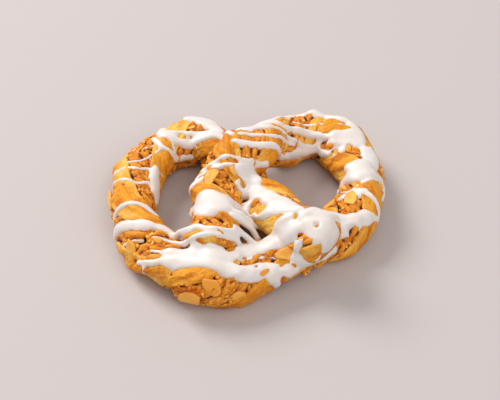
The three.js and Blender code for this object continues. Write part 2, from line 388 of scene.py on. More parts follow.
def rubble(points, size, seed):
    """For crumbs about size across: how deep inside a crumb each point is, and its crumb's
    random number."""
    scaled = points / size
    cell = np.floor(scaled).astype(np.int64)
    nearest = np.full(points.shape[:-1], 9.0)
    second = np.full(points.shape[:-1], 9.0)
    chosen = np.zeros(points.shape[:-1])
    for step in np.ndindex(3, 3, 3):
        neighbour = cell + np.array(step) - 1
        centre = neighbour + np.stack([lattice(neighbour, seed + axis) for axis in range(3)], -1)
        distance = np.linalg.norm(scaled - centre, axis=-1)
        closer = distance < nearest
        second = np.where(closer, nearest, np.minimum(second, distance))
        nearest = np.where(closer, distance, nearest)
        chosen = np.where(closer, lattice(neighbour, seed + 7), chosen)
    return second - nearest, chosen


def through_points(rows, positions):
    """A smooth curve through the rows, read at positions counted in rows."""
    padded = np.vstack([2 * rows[0] - rows[1], rows, 2 * rows[-1] - rows[-2]])
    index = np.clip(np.floor(positions).astype(int), 0, len(rows) - 2)
    t = (positions - index)[:, None]
    a, b, c, d = (padded[index + k] for k in range(4))
    return 0.5 * (
        2 * b + (c - a) * t + (2 * a - 5 * b + 4 * c - d) * t**2 + (3 * b - a - 3 * c + d) * t**3
    )


def unit(vectors):
    """The vectors at length 1."""
    return vectors / np.linalg.norm(vectors, axis=-1, keepdims=True)


# ---- The rope ----


class RopeLine:
    """The rope's middle, directions, radius and twist at stations counted in centreline points."""

    def __init__(self, stations):
        near = 0.02
        rows = through_points(CENTRELINE, stations)
        ahead = through_points(CENTRELINE, np.minimum(stations + near, len(CENTRELINE) - 1))
        behind = through_points(CENTRELINE, np.maximum(stations - near, 0))
        self.middle = rows[:, :3]
        self.radius = rows[:, 3]
        tangent = unit(ahead[:, :3] - behind[:, :3])
        self.side = unit(np.cross(tangent, [0.0, 0.0, 1.0]))
        self.up = np.cross(self.side, tangent)
        tops = np.arange(len(DOUGH_ON_TOP))
        spread = [np.interp(stations + near_by, DOUGH_ON_TOP, tops) for near_by in (-0.5, 0, 0.5)]
        self.twist = np.pi * np.mean(spread, axis=0)


def even_stations(start, end, step):
    """Stations between two others, evenly spaced along the rope, and how far along each lies."""
    fine = np.linspace(0, len(CENTRELINE) - 1, 4000)
    middle = through_points(CENTRELINE, fine)[:, :3]
    along = np.concatenate([[0], np.cumsum(np.linalg.norm(np.diff(middle, axis=0), axis=1))])
    low, high = np.interp([start, end], fine, along)
    wanted = np.linspace(low, high, max(2, int(round((high - low) / step))))
    return np.interp(wanted, along, fine), wanted, along[-1]


def end_share(distance):
    """How far the rope has swelled from its blunt tip, at a distance from the free end."""
    x = np.clip(distance / END_LENGTH, 0, 1)
    return END_SHARE + (1 - END_SHARE) * np.sqrt(1 - (1 - x) ** 2)


def rope_skin(start, end, step, sides, rope):
    """The rope's detailed skin between two stations, as a grid of points with what each shows."""
    stations, along, length = even_stations(start, end, step)
    line = RopeLine(stations)
    around = np.linspace(-np.pi, np.pi, sides, endpoint=False)[None, :]
    turned = around + line.twist[:, None]
    reach = 13.0
    straight = np.stack(
        [
            np.broadcast_to(along[:, None], turned.shape),
            reach * np.cos(turned),
            reach * np.sin(turned),
        ],
        -1,
    )

    # Where the dough's bands lie, with edges that wander.
    band = np.cos(2 * turned)
    band = with_noise(band, straight, BAND_WANDER)
    inside = band - rope.dough_edge
    dough = smoothstep(*EDGE_STEP, inside)

    # The dough: crowned, creased along the twist, with a second layer that ends short.
    stretched = straight * CREASE_STRETCH
    crown = np.sqrt(np.clip(inside / (1.1 - rope.dough_edge), 0, 1.2))
    creases = with_noise(0.0, stretched, CREASES)
    wrinkles = with_noise(0.0, straight, WRINKLES)
    swell = with_noise(0.0, straight, SWELLS)
    leaf = np.sin(2 * turned) + 0.6 * soft_noise(straight, 8, 25)
    leaf_end = smoothstep(*LEAF_EDGE, leaf) + smoothstep(*LEAF_FAR_EDGE, leaf)
    leaf_end = leaf_end * smoothstep(0.0, 0.3, inside)
    dough_height = DOUGH_LEVEL + CROWN_HEIGHT * crown + creases + wrinkles + swell
    dough_height = dough_height - rope.leaf_step * leaf_end

    # The filling: lumps in a rough paste, and a groove where it meets the dough.
    lumps = 0.0
    for size, seed, high, rise, least in LUMPS:
        depth, kind = rubble(straight, size, seed)
        lumps = lumps + high * smoothstep(0.0, rise, depth) * (least + kind)
    rough = with_noise(0.0, straight, ROUGHNESS)
    filling_height = FILLING_LEVEL + rope.crumb_height * (lumps + rough)
    filling_height = filling_height + 0.7 * soft_noise(straight, 11, 61)
    groove = np.exp(-(((inside - GROOVE_PLACE) / GROOVE_WIDTH) ** 2))
    filling_height = filling_height - GROOVE_DEPTH * groove * (
        0.5 + 0.5 * soft_noise(straight, 9, 62)
    )

    height = dough * dough_height + (1 - dough) * filling_height
    height = height - cracks_at(stations, around, straight)

    bulge = np.exp(-(((stations - BULGE_STATION) / BULGE_LENGTH) ** 2))[:, None]
    bulge = bulge * np.exp(-(((around - BULGE_ANGLE) / BULGE_WIDTH) ** 2))
    height = height + BULGE_HEIGHT * bulge

    radius = line.radius[:, None] - SKIN_DEPTH + height
    tip = end_share(np.minimum(along, length - along))[:, None]
    wide = radius * tip * np.sin(around)
    high = radius * tip * FLATNESS * np.cos(around)
    points = line.middle[:, None] + wide[..., None] * line.side[:, None]
    points = points + high[..., None] * line.up[:, None]
    return points, straight, dough, height


def cracks_at(stations, around, straight):
    """How deep the cracks are over the rope's skin."""
    deepest = np.zeros(straight.shape[:2])
    for place, low, high, depth in CRACKS:
        wander = with_noise(0.0, straight, CRACK_WANDER)
        across = np.exp(-(((stations[:, None] - place + wander) / CRACK_WIDTH) ** 2))
        degrees = np.degrees(around)
        within = smoothstep(low - CRACK_FADE, low + CRACK_FADE, degrees)
        within = within * smoothstep(high + CRACK_FADE, high - CRACK_FADE, degrees)
        deepest = np.maximum(deepest, depth * across * within)
    return deepest


def closed_faces(rows, sides):
    """The quads of a tube of rings and the triangles of its two end caps."""
    ring, spoke = np.meshgrid(np.arange(rows - 1), np.arange(sides), indexing="ij")
    following = (spoke + 1) % sides
    corners = [ring * sides + spoke, ring * sides + following]
    corners += [(ring + 1) * sides + following, (ring + 1) * sides + spoke]
    quads = np.stack(corners, -1).reshape(-1, 4)
    spoke = np.arange(sides)
    following = (spoke + 1) % sides
    first = np.stack([np.full(sides, rows * sides), following, spoke], -1)
    last_ring = (rows - 1) * sides
    last = np.stack([np.full(sides, rows * sides + 1), last_ring + spoke, last_ring + following], -1)
    return quads, np.vstack([first, last])


class Grid:
    """A box of voxels around the pretzel, in millimetres, and the ways in and out of it."""

    LOW = np.array([-84.0, -74.0, -3.0])
    HIGH = np.array([84.0, 78.0, 46.0])
    BAND = 8  # distances are kept this many voxels to each side of a surface

    def __init__(self, voxel):
        self.voxel = voxel
        self.transform = openvdb.createLinearTransform(voxelSize=voxel)
        self.start = np.floor(self.LOW / voxel).astype(int)
        self.shape = tuple(np.ceil(self.HIGH / voxel).astype(int) - self.start)
        self.far = self.BAND * voxel

    def axis(self, number):
        """The middle of each voxel along one axis, shaped to combine with whole grids."""
        line = (self.start[number] + np.arange(self.shape[number])) * self.voxel
        shape = [1, 1, 1]
        shape[number] = -1
        return line.reshape(shape).astype(np.float32)

    def distance_to(self, points, quads, triangles):
        """How far each voxel lies outside a closed surface, negative inside."""
        made = openvdb.FloatGrid.createLevelSetFromPolygons(
            np.ascontiguousarray(points, np.float32),
            triangles=np.ascontiguousarray(triangles, np.uint32),
            quads=np.ascontiguousarray(quads, np.uint32),
            transform=self.transform,
            halfWidth=self.BAND,
        )
        field = np.zeros(self.shape, np.float32)
        made.copyToArray(field, ijk=tuple(int(v) for v in self.start))
        return field

    def surface_of(self, field):
        """The surface where the field passes zero: points, quads and triangles."""
        volume = openvdb.FloatGrid(self.far)
        volume.transform = self.transform
        volume.copyFromArray(
            np.ascontiguousarray(field), ijk=tuple(int(v) for v in self.start), tolerance=1e-6
        )
        points, triangles, quads = volume.convertToPolygons(isovalue=0.0, adaptivity=0.0)
        return points.astype(float), quads, triangles

    def sample(self, field, points):
        """The field's value at points, blended between voxels."""
        place = points / self.voxel - self.start
        cell = np.clip(np.floor(place).astype(int), 0, np.array(self.shape) - 2)
        t = np.clip(place - cell, 0, 1)
        total = np.zeros(len(points))
        for corner in np.ndindex(2, 2, 2):
            weight = np.prod(np.where(corner, t, 1 - t), axis=1)
            x, y, z = (cell + np.array(corner)).T
            total += weight * field[x, y, z]
        return total


def blurred(field, rounds):
    """The field averaged with its neighbours a number of times."""
    for _ in range(rounds):
        for axis in range(3):
            field = (np.roll(field, 1, axis) + np.roll(field, -1, axis) + 2 * field) / 4
    return field


def mesh_object(name, points, faces):
    """A new smooth object from points in the rope's millimetres and lists of faces."""
    mesh = bpy.data.meshes.new(name)
    mesh.from_pydata(((points + SHIFT) * MM).tolist(), [], faces)
    mesh.validate()
    mesh.update()
    mesh.shade_smooth()
    made = bpy.data.objects.new(name, mesh)
    bpy.context.scene.collection.objects.link(made)
    return made


def thinned(made, triangles):
    """Collapses the flattest faces of an object until it has about that many triangles."""
    made.data.calc_loop_triangles()
    now = len(made.data.loop_triangles)
    if now > triangles:
        modifier = made.modifiers.new("thin", "DECIMATE")
        modifier.ratio = triangles / now
        modifier.use_collapse_triangulate = True
        graph = bpy.context.evaluated_depsgraph_get()
        mesh = bpy.data.meshes.new_from_object(made.evaluated_get(graph))
        made.modifiers.clear()
        made.data = mesh
        mesh.shade_smooth()
    return made


def points_of(made):
    """An object's points in the rope's millimetres."""
    flat = np.empty(len(made.data.vertices) * 3, np.float32)
    made.data.vertices.foreach_get("co", flat)
    return flat.reshape(-1, 3).astype(float) / MM - SHIFT


def add_number(mesh, name, values):
    """Stores one number for each point of a mesh."""
    layer = mesh.attributes.new(name, "FLOAT", "POINT")
    layer.data.foreach_set("value", np.ascontiguousarray(values, np.float32))


def add_vector(mesh, name, values):
    """Stores one vector for each point of a mesh."""
    layer = mesh.attributes.new(name, "FLOAT_VECTOR", "POINT")
    layer.data.foreach_set("vector", np.ascontiguousarray(values, np.float32).ravel())


# What one step makes and a later one needs.
shared = {}

SOFTENING = 12  # how many times the rope is blurred to find the surface that icing lies on, and the hollows that get painted shade
PIT_BLUR = 4  # and how many times to find its pits and bumps, for painted shade and painted highlight


def bake_rope(rope):
    """Grows both halves of the rope, joins them, and returns the pretzel's object."""
    grid = Grid(rope.voxel / MM)
    step = 0.75 * grid.voxel
    sides = int(round(2 * math.pi * USUAL_RADIUS / (0.9 * grid.voxel)))
    last = len(CENTRELINE) - 1
    overlap = 0.15
    field = np.full(grid.shape, grid.far, np.float32)
    skins = []
    for start, end in ((0, HALFWAY + overlap), (HALFWAY - overlap, last)):
        points, straight, dough, height = rope_skin(start, end, step, sides, rope)
        rows = len(points)
        flat = points.reshape(-1, 3)
        caps = np.stack([points[0].mean(axis=0), points[-1].mean(axis=0)])
        quads, triangles = closed_faces(rows, sides)
        field = np.minimum(field, grid.distance_to(np.vstack([flat, caps]), quads, triangles))
        skins.append((flat, straight.reshape(-1, 3), dough.ravel(), height.ravel()))
    field = np.maximum(field, -grid.axis(2))
    skin = [np.concatenate(part) for part in zip(*skins)]

    points, quads, triangles = grid.surface_of(field)
    made = mesh_object("baked_pretzel", points, quads.tolist() + triangles.tolist())
    thinned(made, rope.most_triangles)
    shared["grid"] = grid
    shared["rope"] = field
    shared["soft"] = blurred(field, SOFTENING)
    paint_rope(made, skin)
    points = points_of(made)
    # The pits and hollows are stored for painted shade in the material, and the bumps, where the value
    # is below zero, for a painted highlight.
    add_number(made.data, "pit_for_painted_light", -grid.sample(blurred(field, PIT_BLUR), points))
    add_number(made.data, "hollow_for_painted_shade", -grid.sample(shared["soft"], points))
    return made


def paint_rope(made, skin):
    """Gives each point of the pretzel what the nearest point of the rope's skin shows."""
    flat, straight, dough, height = skin
    tree = KDTree(len(flat))
    for index, point in enumerate(flat.tolist()):
        tree.insert(point, index)
    tree.balance()
    points = points_of(made)
    nearest = np.array([tree.find(point)[1] for point in points.tolist()])
    add_vector(made.data, "straight", straight[nearest] * MM)
    add_number(made.data, "dough", dough[nearest])
    add_number(made.data, "height", height[nearest])
    shared["shows"] = (points, dough[nearest])


# ---- The icing ----


STROKE_STEP = 0.7  # the spacing of the points along a stroke of icing
DRY = -1.5  # the depth of icing where there is none
MOST_STRAND = 1.7  # the greatest radius of a strand in the air
ICING_EDGE = 0.55  # lower makes the edges of a stroke steeper
CLIMB = 0.6  # what a height counts for next to a step to the side
CRUMB_COVER = 0.5  # the icing starts this far below the tops of the crumbs
ICED_DEPTH = 0.3  # a slice counts as iced where the icing is deeper than this
ROOT_DEPTH = 1.0  # the icing's hidden inner side lies this far under the rope's skin
SETTLING_ROUNDS = 4
SETTLING_STEP = 0.9
FEWEST_POINTS = 150  # bits of icing with fewer are left out


def top_of(grid, field, points):
    """The height of the pretzel's top under each point, seen from above."""
    inside = field < 0
    top = inside.shape[2] - 1 - np.argmax(inside[:, :, ::-1], axis=2)
    heights = np.where(inside.any(axis=2), (grid.start[2] + top) * grid.voxel, 0.0)
    column = np.round(points[:, :2] / grid.voxel).astype(int) - grid.start[:2]
    return heights[column[:, 0], column[:, 1]]


def settled(grid, field, points):
    """Points near the pretzel's surface moved onto it; points in the air stay."""
    near = np.abs(grid.sample(field, points)) < 0.8 * grid.far
    moved = points.copy()
    for _ in range(SETTLING_ROUNDS):
        value = grid.sample(field, moved)
        slope = np.stack(
            [
                grid.sample(field, moved + offset) - grid.sample(field, moved - offset)
                for offset in np.eye(3) * grid.voxel
            ],
            -1,
        )
        slope = slope / np.maximum(np.linalg.norm(slope, axis=1, keepdims=True), 1e-6)
        moved = np.where(near[:, None], moved - SETTLING_STEP * value[:, None] * slope, moved)
    return moved


def stroke_path(grid, field, corners):
    """The points that one stroke of icing runs through, and how freely each hangs in the air."""
    if len(corners) < 3:
        first, last = (np.array(corner[:2], float) for corner in corners)
        corners = [corners[0], tuple((first + last) / 2), corners[1]]
    rows = np.array([corner[:2] for corner in corners], float)
    tops = top_of(grid, field, rows)
    heights = np.array([c[2] if len(c) > 2 else top for c, top in zip(corners, tops)], float)
    stated = [len(corner) > 2 for corner in corners]
    hanging = np.array([len(corner) > 3 for corner in corners], float)
    lengths = np.linalg.norm(np.diff(rows, axis=0), axis=1)
    path = []
    free = []
    for leg, length in enumerate(lengths):
        share = np.arange(max(2, math.ceil(length / STROKE_STEP)))
        share = share / len(share)
        flat = through_points(rows, leg + share)
        if stated[leg] or stated[leg + 1]:
            height = heights[leg] + (heights[leg + 1] - heights[leg]) * share
        else:
            height = top_of(grid, field, flat)
        path.append(np.column_stack([flat, height]))
        free.append(hanging[leg] + (hanging[leg + 1] - hanging[leg]) * share)
    path.append(np.array([[*rows[-1], heights[-1]]]))
    free.append(hanging[-1:])
    path = np.vstack(path)
    free = smoothstep(0, 0.8, np.concatenate(free))
    lying = settled(grid, field, path)
    return lying + (path - lying) * free[:, None], free


def ice_pretzel(icing):
    """Lays every stroke of icing on the pretzel and returns the icing's object."""
    grid = shared["grid"]
    rope = shared["rope"]
    soft = shared["soft"]
    base = np.minimum(soft, rope + CRUMB_COVER)
    depth = np.full(grid.shape, DRY, np.float32)
    air = np.full(grid.shape, grid.far, np.float32)
    for number, (width, corners) in enumerate(STROKES):
        path, free = stroke_path(grid, soft, corners)
        along = np.arange(len(path))[:, None] * STROKE_STEP
        along = along + np.array([[0.0, 31.0 * number, 5.0]])
        wobble = with_noise(1, along, STROKE_WOBBLE)
        reach = np.maximum(0.5 * width * wobble, 0.75 * grid.voxel)
        ends = np.minimum(np.arange(len(path)), np.arange(len(path))[::-1]) * STROKE_STEP
        reach = reach * (0.55 + 0.45 * smoothstep(0, 0.6 * width, ends))
        full = icing.thickness / MM * min(1.0, 0.66 + 0.06 * width)
        for point, radius, hangs in zip(path, reach, free):
            window, apart = around_point(grid, point, 1.6 * radius)
            share = 1 - apart / radius**2
            level = full * np.sign(share) * np.abs(share) ** ICING_EDGE
            depth[window] = np.maximum(depth[window], level)
            if hangs > 0.02:
                strand = np.sqrt(apart) - min(radius, MOST_STRAND)
                air[window] = np.minimum(air[window], strand)
    flow_round_bare_spots(grid, depth)
    field = base - depth
    near = np.abs(field) < 2.5 * grid.voxel
    cells = np.argwhere(near)
    places = (cells + grid.start) * grid.voxel
    field[near] -= with_noise(0.0, places, ICING_RIPPLE)
    field = np.maximum(np.minimum(field, air), -ROOT_DEPTH - rope)
    shared["icing"] = depth
    field = blurred(field, 2)
    field = np.clip(field, -grid.far, grid.far)
    points, quads, triangles = grid.surface_of(field)
    points, quads, triangles = without_specks(points, quads, triangles)
    made = mesh_object("sugar_icing", points, quads.tolist() + triangles.tolist())
    return thinned(made, icing.most_triangles)


def around_point(grid, point, reach):
    """The voxels round a point, and the square of how far each is from it. A height counts for
    less than a step to the side, so that a thin stroke climbs over the crumbs in its way."""
    low = np.maximum(np.floor((point - reach) / grid.voxel).astype(int) - grid.start, 0)
    high = np.ceil((point + reach) / grid.voxel).astype(int) - grid.start + 1
    high = np.maximum(np.minimum(high, grid.shape), low + 1)
    window = tuple(slice(a, b) for a, b in zip(low, high))
    x, y, z = (
        ((grid.start[k] + np.arange(low[k], high[k])) * grid.voxel - point[k]) ** 2
        for k in range(3)
    )
    return window, x[:, None, None] + y[None, :, None] + CLIMB * z[None, None, :]


def flow_round_bare_spots(grid, depth):
    """Takes the icing away over the spots that it didn't cover."""
    for x, y, radius in BARE_SPOTS:
        apart = np.sqrt((grid.axis(0) - x) ** 2 + (grid.axis(1) - y) ** 2)
        covered = smoothstep(radius - BARE_EDGE, radius + BARE_EDGE, apart)
        depth -= (BARE_DEPTH * (1 - covered)).astype(np.float32)


def without_specks(points, quads, triangles):
    """The surface without the separate bits that have too few points to be seen."""
    faces = quads.tolist() + triangles.tolist()
    neighbours = [[] for _ in range(len(points))]
    for face in faces:
        for here, there in zip(face, face[1:] + face[:1]):
            neighbours[here].append(there)
    group = np.full(len(points), -1)
    keep = np.zeros(len(points), bool)
    for seed in range(len(points)):
        if group[seed] >= 0:
            continue
        group[seed] = seed
        members = [seed]
        for member in members:
            for other in neighbours[member]:
                if group[other] < 0:
                    group[other] = seed
                    members.append(other)
        keep[members] = len(members) >= FEWEST_POINTS
    renumber = np.cumsum(keep) - 1
    if len(quads):
        quads = renumber[quads[keep[quads[:, 0]]]]
    if len(triangles):
        triangles = renumber[triangles[keep[triangles[:, 0]]]]
    return points[keep], quads, triangles


# ---- Almonds and crumbs ----


def almond_slice(length, width, thickness, random):
    """The points, faces and rim shares of one curled almond slice lying flat at the origin."""
    rings = 7
    spokes = 44
    curl = random.uniform(0.006, 0.022)
    bow = random.uniform(-0.012, 0.012)
    angles = np.linspace(0, 2 * math.pi, spokes, endpoint=False)
    wave = 0.035 * np.sin(2 * angles + random.uniform(0, 6))
    wave = wave + 0.03 * np.sin(3 * angles + random.uniform(0, 6))
    wave = wave + 0.018 * np.sin(9 * angles + random.uniform(0, 6))
    outline = 1 - 0.2 * np.cos(angles) + wave
    for _ in range(random.integers(1, 4)):
        away = np.cos(angles - random.uniform(0, 2 * math.pi))
        break_line = random.uniform(0.45, 0.85) / np.maximum(away, 0.05)
        outline = np.minimum(outline, break_line)
    outline = outline[:, None]
    spread = np.linspace(0, 1, rings + 1)[None, 1:]
    across = outline * spread * 0.5
    x = across * length * np.cos(angles)[:, None]
    y = across * width * np.sin(angles)[:, None]
    lift = -curl * x**2 * 0.5 + bow * y**2 + 0.02 * np.sin(1.3 * x + random.uniform(0, 6))
    half = 0.5 * thickness * (1 - spread**6) ** 0.5
    ripple = 0.05 * np.sin(4.2 * y + 0.7 * x + random.uniform(0, 6)) * (1 - spread)
    top = np.stack([x, y, lift + half + ripple], -1)
    bottom = np.stack([x, y, lift - half], -1)
    middle = np.array([[0.0, 0.0, 0.5 * thickness], [0.0, 0.0, -0.5 * thickness]])
    points = np.vstack([top.reshape(-1, 3), bottom[:, :-1].reshape(-1, 3), middle])
    rim = np.concatenate(
        [np.tile(spread[0], spokes), np.tile(spread[0, :-1], spokes), [0.0, 0.0]]
    )
    faces = []
    below = spokes * rings
    centre = below + spokes * (rings - 1)
    for spoke in range(spokes):
        beyond = (spoke + 1) % spokes
        faces.append((centre, spoke * rings, beyond * rings))
        faces.append((centre + 1, below + beyond * (rings - 1), below + spoke * (rings - 1)))
        for ring in range(rings - 1):
            here = spoke * rings + ring
            there = beyond * rings + ring
            faces.append((here, here + 1, there + 1, there))
            low = below + spoke * (rings - 1) + ring
            other = below + beyond * (rings - 1) + ring
            last = ring == rings - 2
            low_out = spoke * rings + rings - 1 if last else low + 1
            other_out = beyond * rings + rings - 1 if last else other + 1
            faces.append((low, other, other_out, low_out))
    return points, faces, rim


def seat_turn(outward, spin, tilt):
    """The turn that lays a slice on a surface facing outward."""
    stand = Vector((0, 0, 1)).rotation_difference(Vector(outward))
    tilted = Quaternion((1, 0, 0), math.radians(tilt))
    spun = Quaternion((0, 0, 1), math.radians(spin))
    return stand @ tilted @ spun


def rope_place(station, around):
    """The middle of the rope at a station, and the way out of it at an angle from its top."""
    line = RopeLine(np.array([float(station)]))
    angle = math.radians(around)
    outward = math.sin(angle) * line.side[0] + FLATNESS * math.cos(angle) * line.up[0]
    return line.middle[0], unit(outward)


OUTSIDE = 24  # farther from the rope's middle than its skin ever lies


def outer_surface(rope_tree, middle, outward):
    """Where a line out of the rope's middle meets the pretzel's skin, from outside."""
    start = Vector((middle + OUTSIDE * outward).tolist())
    hit, normal, _, _ = rope_tree.ray_cast(start, Vector((-outward).tolist()))
    return np.array(hit), np.array(normal)


def lay_almonds(almonds, rope_tree):
    """The big almond slices, one object for each slice of the part."""
    random = np.random.default_rng(4)
    grid = shared["grid"]
    made = []
    for number, (station, around, spin, tilt) in enumerate(FLAKES, 1):
        length = almonds.length / MM * random.uniform(0.9, 1.08)
        width = almonds.width / MM * random.uniform(0.88, 1.05)
        if number == BIGGEST_SLICE:
            length = BIGGEST_LENGTH * length
            width = BIGGEST_WIDTH * width
        points, faces, rim = almond_slice(length, width, almonds.thickness / MM, random)
        middle, outward = rope_place(station, around)
        seat, _ = outer_surface(rope_tree, middle, outward)
        iced = grid.sample(shared["icing"], seat[None, :])[0] > ICED_DEPTH
        turn = np.array(seat_turn(outward, spin, 0.4 * tilt if iced else tilt).to_matrix())
        lift = ICED_LIFT if iced else almonds.lift / MM
        if number == BIGGEST_SLICE:
            lift = BIGGEST_LIFT
        points = points @ turn.T + seat + outward * lift
        piece = mesh_object(f"sliced_almond_{number:02d}", points, faces)
        add_number(piece.data, "rim", rim)
        add_number(piece.data, "kind", np.full(len(points), random.uniform()))
        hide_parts(f"almond_slice_{number:02d}")
        made.append(piece)
    return made


MOST_DOUGH = 0.25  # crumbs stick only where this share of dough or less shows
LOWEST_CRUMB = 3.0
BARE_OF_ICING = -0.7  # the icing's depth below which a place counts as bare


def scatter_crumbs(almonds, rope_tree):
    """Small shards of almond and crumbs of nut stuck all over the filling, as one object."""
    random = np.random.default_rng(9)
    places, dough = shared["shows"]
    iced = shared["grid"].sample(shared["icing"], places)
    filling = (dough < MOST_DOUGH) & (places[:, 2] > LOWEST_CRUMB)
    bare = np.flatnonzero(filling & (iced < BARE_OF_ICING))
    picked = random.permutation(bare)[: almonds.shards + almonds.crumbs]
    all_points = []
    all_faces = []
    rims = []
    kinds = []
    count = 0
    for number, index in enumerate(picked):
        seat = places[index]
        _, normal, _, _ = rope_tree.find_nearest(Vector(seat.tolist()))
        normal = np.array(normal)
        if number < almonds.shards:
            size = random.uniform(2.8, 7.5)
            points, faces, rim = shard(size, random)
            turn = seat_turn(normal, random.uniform(0, 360), random.uniform(5, 60))
            lift = 0.35
        else:
            size = random.uniform(0.6, 1.5)
            points, faces, rim = crumb(size, random)
            turn = seat_turn(normal, random.uniform(0, 360), random.uniform(0, 180))
            lift = 0.25 * size
        points = points @ np.array(turn.to_matrix()).T + seat + normal * lift
        points[:, 2] = np.maximum(points[:, 2], 0.1)
        all_points.append(points)
        all_faces += [tuple(corner + count for corner in face) for face in faces]
        rims.append(rim)
        kinds.append(np.full(len(points), random.uniform()))
        count += len(points)
    made = mesh_object("almond_crumbs", np.vstack(all_points), all_faces)
    add_number(made.data, "rim", np.concatenate(rims))
    add_number(made.data, "kind", np.concatenate(kinds))
    return made


def shard(size, random):
    """The points, faces and rim shares of a small broken piece of an almond slice."""
    corners = random.integers(5, 8)
    angles = np.sort((np.arange(corners) + random.uniform(-0.3, 0.3, corners)) / corners)
    angles = angles * 2 * math.pi
    reach = 0.5 * size * random.uniform(0.6, 1.0, corners)
    narrow = random.uniform(0.4, 0.8)
    half = random.uniform(0.35, 0.55)
    outline = np.stack([reach * np.cos(angles), narrow * reach * np.sin(angles)], -1)
    layers = [(0.75, half), (1.0, 0.5 * half), (1.0, -0.5 * half), (0.75, -half)]
    points = np.vstack(
        [np.column_stack([outline * share, np.full(corners, high)]) for share, high in layers]
    )
    faces = [tuple(range(corners)), tuple(range(4 * corners - 1, 3 * corners - 1, -1))]
    for layer in range(3):
        for corner in range(corners):
            beyond = (corner + 1) % corners
            first = layer * corners
            faces.append(
                (first + corner, first + corners + corner, first + corners + beyond, first + beyond)
            )
    rim = np.repeat([0.35, 1.0, 1.0, 0.35], corners)
    return points, faces, rim


def crumb(size, random):
    """The points, faces and rim shares of one lump of nut."""
    mesh = bmesh.new()
    bmesh.ops.create_icosphere(mesh, subdivisions=1, radius=size)
    points = np.array([vertex.co[:] for vertex in mesh.verts])
    faces = [tuple(vertex.index for vertex in face.verts) for face in mesh.faces]
    mesh.free()
    points = points * random.uniform(0.65, 1.1, (len(points), 1))
    points = points * random.uniform(0.7, 1.2, 3)
    return points, faces, np.full(len(points), random.uniform(0.0, 0.8))


# ---- Materials ----


def linear(red, green, blue):
    """A screen colour, each part from 0 to 1, as the linear colour that a shader takes."""
    return tuple(
        part / 12.92 if part <= 0.04045 else ((part + 0.055) / 1.055) ** 2.4
        for part in (red, green, blue)
    )


def feed(tree, node, inputs):
    """Gives a node's inputs their values, or links them to the sockets that feed them."""
    for name, value in inputs.items():
        socket = node.inputs[name]
        if isinstance(value, bpy.types.NodeSocket):
            tree.links.new(value, socket)
        elif socket.type == "RGBA":
            socket.default_value = (*value[:3], 1.0)
        else:
            socket.default_value = value


def add_node(tree, kind, inputs=None, **settings):
    """A new node with its settings and inputs."""
    made = tree.nodes.new(kind)
    for name, value in settings.items():
        setattr(made, name, value)
    feed(tree, made, inputs or {})
    return made


# Where a colour mix keeps its share, its two colours and its result.
MIX_SHARE = 0
MIX_FIRST = 6
MIX_SECOND = 7
MIX_RESULT = 2


def mixed(tree, share, first, second):
    """The colour between two others."""
    inputs = {MIX_SHARE: share, MIX_FIRST: first, MIX_SECOND: second}
    return add_node(tree, "ShaderNodeMix", inputs, data_type="RGBA").outputs[MIX_RESULT]


def times(tree, first, second):
    """Two numbers or sockets multiplied."""
    return add_node(tree, "ShaderNodeMath", {0: first, 1: second}, operation="MULTIPLY").outputs[0]


def plus(tree, first, second):
    """Two numbers or sockets added."""
    return add_node(tree, "ShaderNodeMath", {0: first, 1: second}, operation="ADD").outputs[0]


def spread_over(tree, value, least, most):
    """A patchy value from 0.3 to 0.7 spread evenly over another range."""
    inputs = {"Value": value, "From Min": 0.3, "From Max": 0.7, "To Min": least, "To Max": most}
    return add_node(tree, "ShaderNodeMapRange", inputs).outputs["Result"]


def ramp(tree, value, low, high):
    """0 where the value is below low, 1 above high, smooth between them."""
    made = add_node(
        tree,
        "ShaderNodeMapRange",
        {"Value": value, "From Min": low, "From Max": high},
        interpolation_type="SMOOTHSTEP",
    )
    return made.outputs["Result"]


def stored(tree, name, output="Fac"):
    """What a mesh stores at its points under a name."""
    return add_node(tree, "ShaderNodeAttribute", attribute_name=name).outputs[output]


def new_group(name, inputs, outputs):
    """An empty shader node group, its tree, and the sockets inside it."""
    tree = bpy.data.node_groups.new(name, "ShaderNodeTree")
    for label, kind, default in inputs:
        socket = tree.interface.new_socket(name=label, in_out="INPUT", socket_type=kind)
        if default is not None:
            socket.default_value = default
    for label, kind in outputs:
        tree.interface.new_socket(name=label, in_out="OUTPUT", socket_type=kind)
    return tree, tree.nodes.new("NodeGroupInput"), tree.nodes.new("NodeGroupOutput")


def toasting_group():
    """Patches, flecks and a fine grain at one scale, for anything that has been in the oven."""
    if "Toasting" in bpy.data.node_groups:
        return bpy.data.node_groups["Toasting"]
    tree, given, out = new_group(
        "Toasting",
        [
            ("Vector", "NodeSocketVector", None),
            ("Patch Scale", "NodeSocketFloat", 120.0),
            ("Fleck Scale", "NodeSocketFloat", 700.0),
            ("Grain Scale", "NodeSocketFloat", 1500.0),
        ],
        [
            ("Patches", "NodeSocketFloat"),
            ("Flecks", "NodeSocketFloat"),
            ("Grain", "NodeSocketFloat"),
        ],
    )
    vector = given.outputs["Vector"]
    scales = (("Patches", "Patch Scale", 5.0), ("Grain", "Grain Scale", 4.0))
    for label, scale, detail in scales:
        noise = add_node(
            tree,
            "ShaderNodeTexNoise",
            {"Vector": vector, "Scale": given.outputs[scale], "Detail": detail, "Roughness": 0.6},
        )
        tree.links.new(noise.outputs["Fac"], out.inputs[label])
    flecks = add_node(
        tree, "ShaderNodeTexVoronoi", {"Vector": vector, "Scale": given.outputs["Fleck Scale"]}
    )
    tree.links.new(ramp(tree, flecks.outputs["Distance"], 0.5, 0.1), out.inputs["Flecks"])
    return tree


def toasting(tree, vector, patch, fleck, grain):
    """The toasting group placed in a material at its own scales."""
    made = add_node(tree, "ShaderNodeGroup", node_tree=toasting_group())
    scales = {"Patch Scale": patch, "Fleck Scale": fleck, "Grain Scale": grain}
    feed(tree, made, {"Vector": vector, **scales})
    return made.outputs


